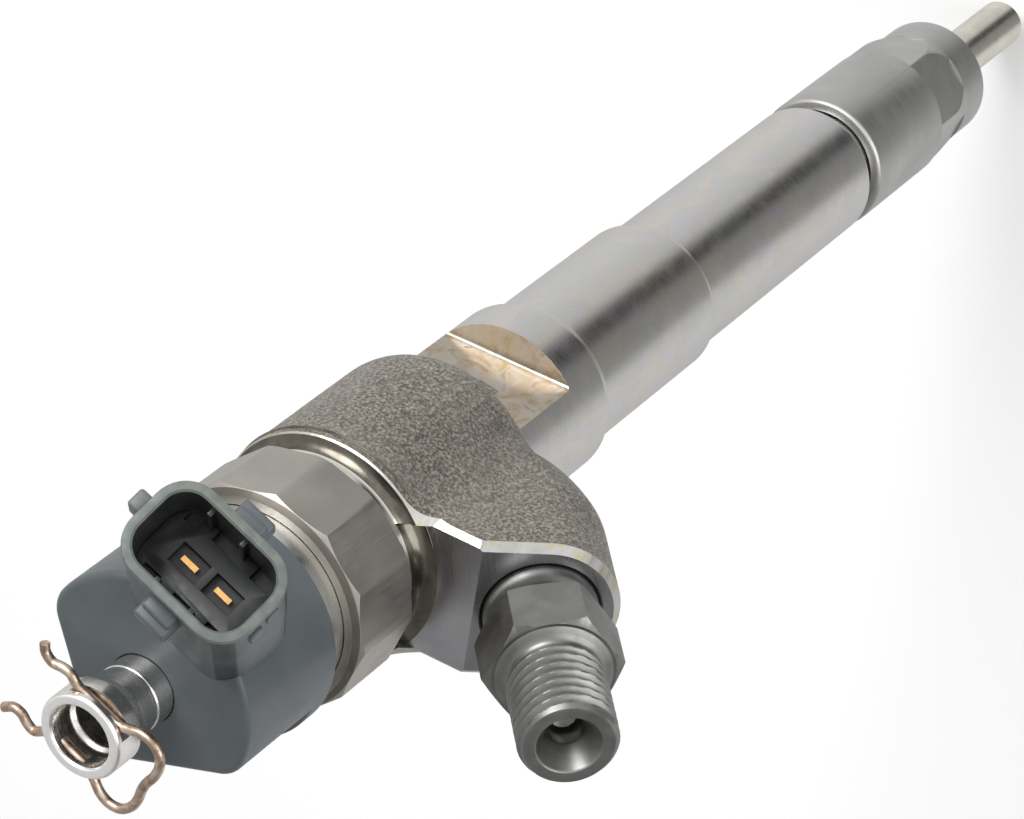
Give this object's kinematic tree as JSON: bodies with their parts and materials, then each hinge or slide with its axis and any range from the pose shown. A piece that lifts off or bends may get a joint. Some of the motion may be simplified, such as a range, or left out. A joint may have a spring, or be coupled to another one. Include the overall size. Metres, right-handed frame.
{
  "type": "fuel injector",
  "caption": "Solenoid common-rail diesel injector: slim stepped barrel, forged head with side inlet fitting, plastic plug cap, clipped return port.",
  "frame": {"origin": "centre of the nozzle nut lower face, where the injector seats in the cylinder head", "axes": "+Z along the injector axis from nozzle to solenoid; the high-pressure inlet leans out towards -X; the clamp flats face +Y and -Y"},
  "size_m": [0.0614, 0.0501, 0.2394],
  "materials": {
    "forging": "blasted steel forging with ground and machined surfaces",
    "ground_steel": "fine ground bearing steel",
    "nut_steel": "satin grey steel",
    "nozzle_steel": "ground steel, slightly straw coloured",
    "fitting_steel": "dark phosphated steel",
    "union_steel": "brushed grey-brown steel",
    "port_steel": "bright turned steel",
    "spring_steel": "oil-tempered spring wire",
    "core_iron": "pressed soft-magnetic iron",
    "cap_plastic": "blue-grey glass-filled nylon",
    "bobbin_plastic": "black nylon",
    "coil_copper": "enamelled copper wire",
    "terminal_copper": "tinned copper alloy with a warm lustre",
    "seal_rubber": "fluoro rubber",
    "clip_wire": "bronze-coated spring wire"
  },
  "bodies": {
    "injector": {"injector_body": "forging", "inlet_fitting": "fitting_steel", "edge_filter": "ground_steel", "nozzle_nut": "nut_steel", "nozzle_body": "nozzle_steel", "nozzle_dowels": "ground_steel", "nozzle_spring": "spring_steel", "nozzle_spring_shim": "ground_steel", "valve_body": "ground_steel", "valve_seal_ring": "ground_steel", "valve_nut": "ground_steel", "armature_guide": "ground_steel", "overtravel_spring": "spring_steel", "lift_shim": "ground_steel", "solenoid_spring": "spring_steel", "solenoid_spring_shim": "ground_steel", "solenoid_sleeve": "port_steel", "magnet_core": "core_iron", "coil_bobbin": "bobbin_plastic", "coil_winding": "coil_copper", "solenoid_o_ring": "seal_rubber", "union_nut": "union_steel", "connector_cap": "cap_plastic", "terminal_pins": "terminal_copper", "return_port": "port_steel"},
    "needle": {"nozzle_needle": "ground_steel"},
    "piston": {"spring_seat": "ground_steel", "control_piston": "ground_steel"},
    "armature": {"armature_pin": "ground_steel", "lock_washer": "ground_steel", "armature_plate": "core_iron", "valve_ball": "ground_steel", "ball_holder": "ground_steel"},
    "clip": {"port_clip": "clip_wire"}
  },
  "joints": [
    {"name": "piston_lift", "type": "slide", "parent": "injector", "child": "piston", "axis": [0, 0, 1], "range_m": [0, 0.00025], "stiffness_N_per_m": 20000, "springref_m": -0.0015, "deforming": ["nozzle_spring"]},
    {"name": "needle_lift", "type": "slide", "parent": "injector", "child": "needle", "axis": [0, 0, 1], "range_m": [0, 0.00025]},
    {"name": "armature_lift", "type": "slide", "parent": "injector", "child": "armature", "axis": [0, 0, 1], "range_m": [0, 0.00006], "stiffness_N_per_m": 30000, "springref_m": -0.001, "deforming": ["solenoid_spring", "overtravel_spring"]},
    {"name": "clip_slide", "type": "slide", "parent": "injector", "child": "clip", "axis": [-0.9205, 0.3907, 0], "range_m": [0, 0.0025]}
  ],
  "couplings": [
    {"joint": "needle_lift", "follows": "piston_lift", "ratio": 1}
  ]
}
